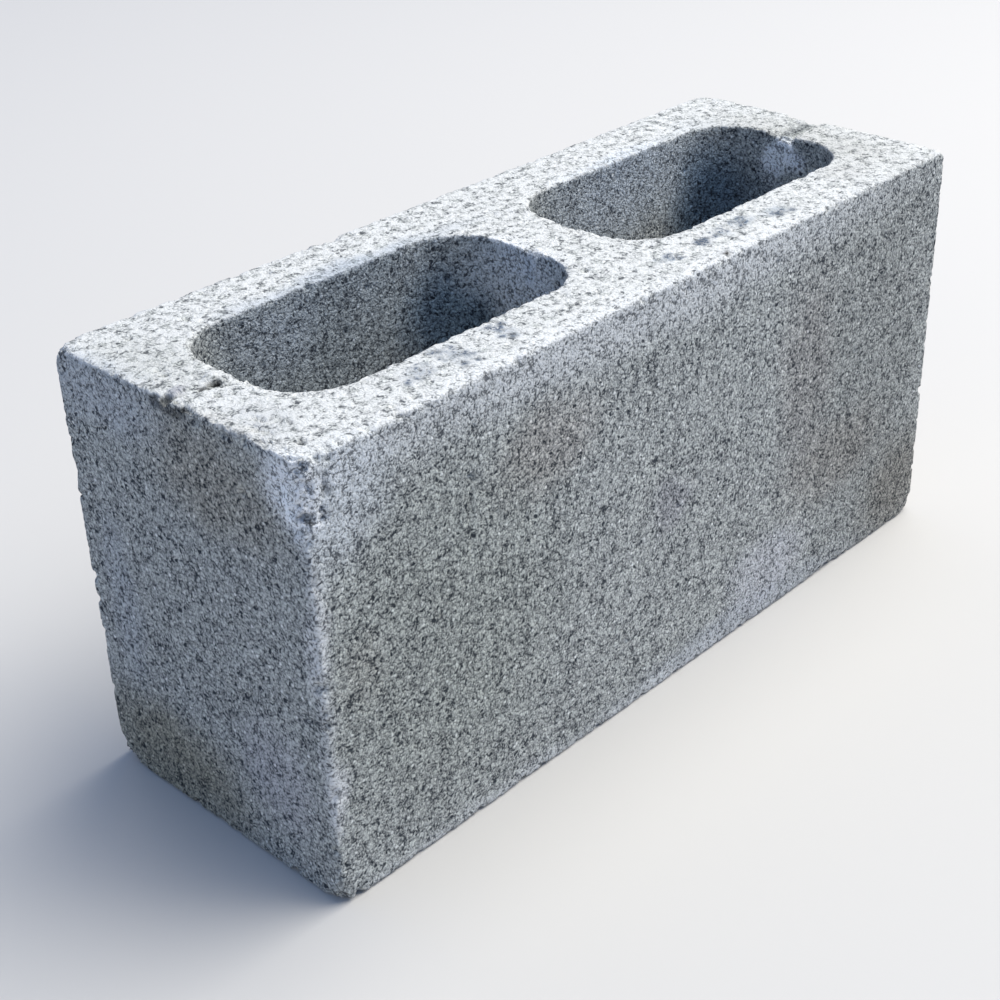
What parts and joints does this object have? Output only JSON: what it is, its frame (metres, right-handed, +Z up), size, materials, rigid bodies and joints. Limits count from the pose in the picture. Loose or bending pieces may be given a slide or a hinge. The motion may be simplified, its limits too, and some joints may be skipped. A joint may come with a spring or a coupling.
{
  "type": "hollow concrete block",
  "caption": "Rectangular hollow concrete masonry block with round-cornered tapered cores right through it, for walls laid in mortar.",
  "frame": {"origin": "middle of the bed, the face that the block stands on, so that it rests on z = 0", "axes": "+X along the length, from one end to the other; +Y across the width, from one face shell to the other; +Z up, from the bed to the top where the cores are widest"},
  "size_m": [0.3968, 0.143, 0.1937],
  "materials": {
    "concrete": "rough, open-grained, as cast"
  },
  "bodies": {
    "root": {"block": "concrete"}
  },
  "joints": []
}
